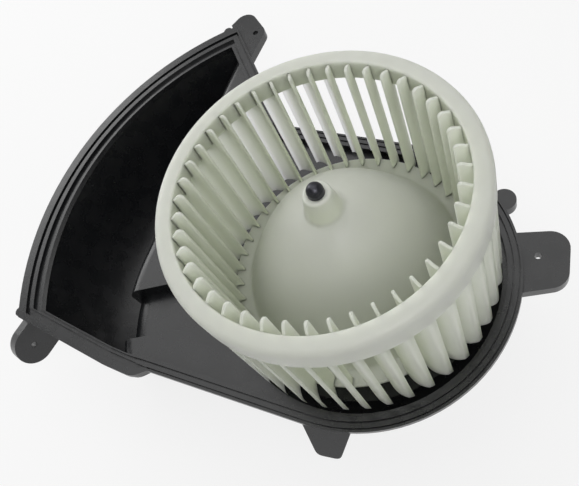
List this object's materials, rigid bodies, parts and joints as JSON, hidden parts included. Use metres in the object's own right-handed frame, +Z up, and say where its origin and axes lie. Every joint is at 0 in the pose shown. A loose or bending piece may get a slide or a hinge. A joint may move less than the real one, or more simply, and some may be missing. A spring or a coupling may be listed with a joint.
{
  "type": "heater blower motor",
  "caption": "Vehicle heater blower: scroll base with curved outlet duct and fixing ears, carrying a rubber-mounted motor that spins a bladed cage wheel with a domed hub.",
  "frame": {"origin": "on the motor axis, in the plane of the rim that joins the upper scroll housing", "axes": "+Z up along the motor axis towards the wheel, -X towards the outlet duct, +Y towards the plug socket"},
  "size_m": [0.3222, 0.2715, 0.1732],
  "materials": {
    "black_plastic": "moulded charcoal plastic, satin",
    "socket_plastic": "moulded dark plastic, matte",
    "ivory_plastic": "moulded ivory plastic, satin",
    "rubber": "soft black rubber",
    "zinc_steel": "zinc-plated sheet steel",
    "spring_steel": "bright spring steel",
    "shaft_steel": "dark ground steel",
    "core_steel": "stacked steel sheets",
    "ferrite": "sintered ferrite, matte",
    "bronze": "sintered bronze",
    "brass": "pressed brass",
    "copper": "enamelled copper",
    "carbon": "pressed carbon",
    "phenolic": "brown phenolic board",
    "nylon": "natural nylon",
    "felt": "oil-soaked felt"
  },
  "bodies": {
    "housing": {"scroll_base": "black_plastic", "motor_cover": "black_plastic", "cover_screws": "zinc_steel", "upper_rubber_ring": "rubber", "lower_rubber_ring": "rubber", "motor_can": "zinc_steel", "end_plate": "zinc_steel", "field_magnets": "ferrite", "magnet_clips": "spring_steel", "upper_bush": "bronze", "lower_bush": "bronze", "oil_felts": "felt", "bush_retainers": "spring_steel", "thrust_pad": "nylon", "brush_card": "phenolic", "brush_holders": "brass", "spring_left": "spring_steel", "spring_right": "spring_steel", "choke_cores": "ferrite", "choke_coils": "copper", "plug_socket": "socket_plastic", "terminal_blades": "brass"},
    "rotor": {"shaft": "shaft_steel", "armature_core": "core_steel", "armature_windings": "copper", "commutator_hub": "phenolic", "commutator_bars": "copper", "thrust_washers": "nylon", "wheel_hub": "ivory_plastic", "wheel_ring": "ivory_plastic", "wheel_blades": "ivory_plastic", "wheel_clip": "spring_steel"},
    "left_brush": {"brush_left": "carbon"},
    "right_brush": {"brush_right": "carbon"}
  },
  "joints": [
    {"name": "fan_spin", "type": "hinge", "parent": "housing", "child": "rotor", "pos_m": [0, 0, 0], "axis": [0, 0, 1], "continuous": true},
    {"name": "left_brush_slide", "type": "slide", "parent": "housing", "child": "left_brush", "axis": [-1, 0, 0], "range_m": [0, 0.003], "stiffness_N_per_m": 250, "springref_m": -0.004, "deforming": ["spring_left"]},
    {"name": "right_brush_slide", "type": "slide", "parent": "housing", "child": "right_brush", "axis": [1, 0, 0], "range_m": [0, 0.003], "stiffness_N_per_m": 250, "springref_m": -0.004, "deforming": ["spring_right"]}
  ]
}
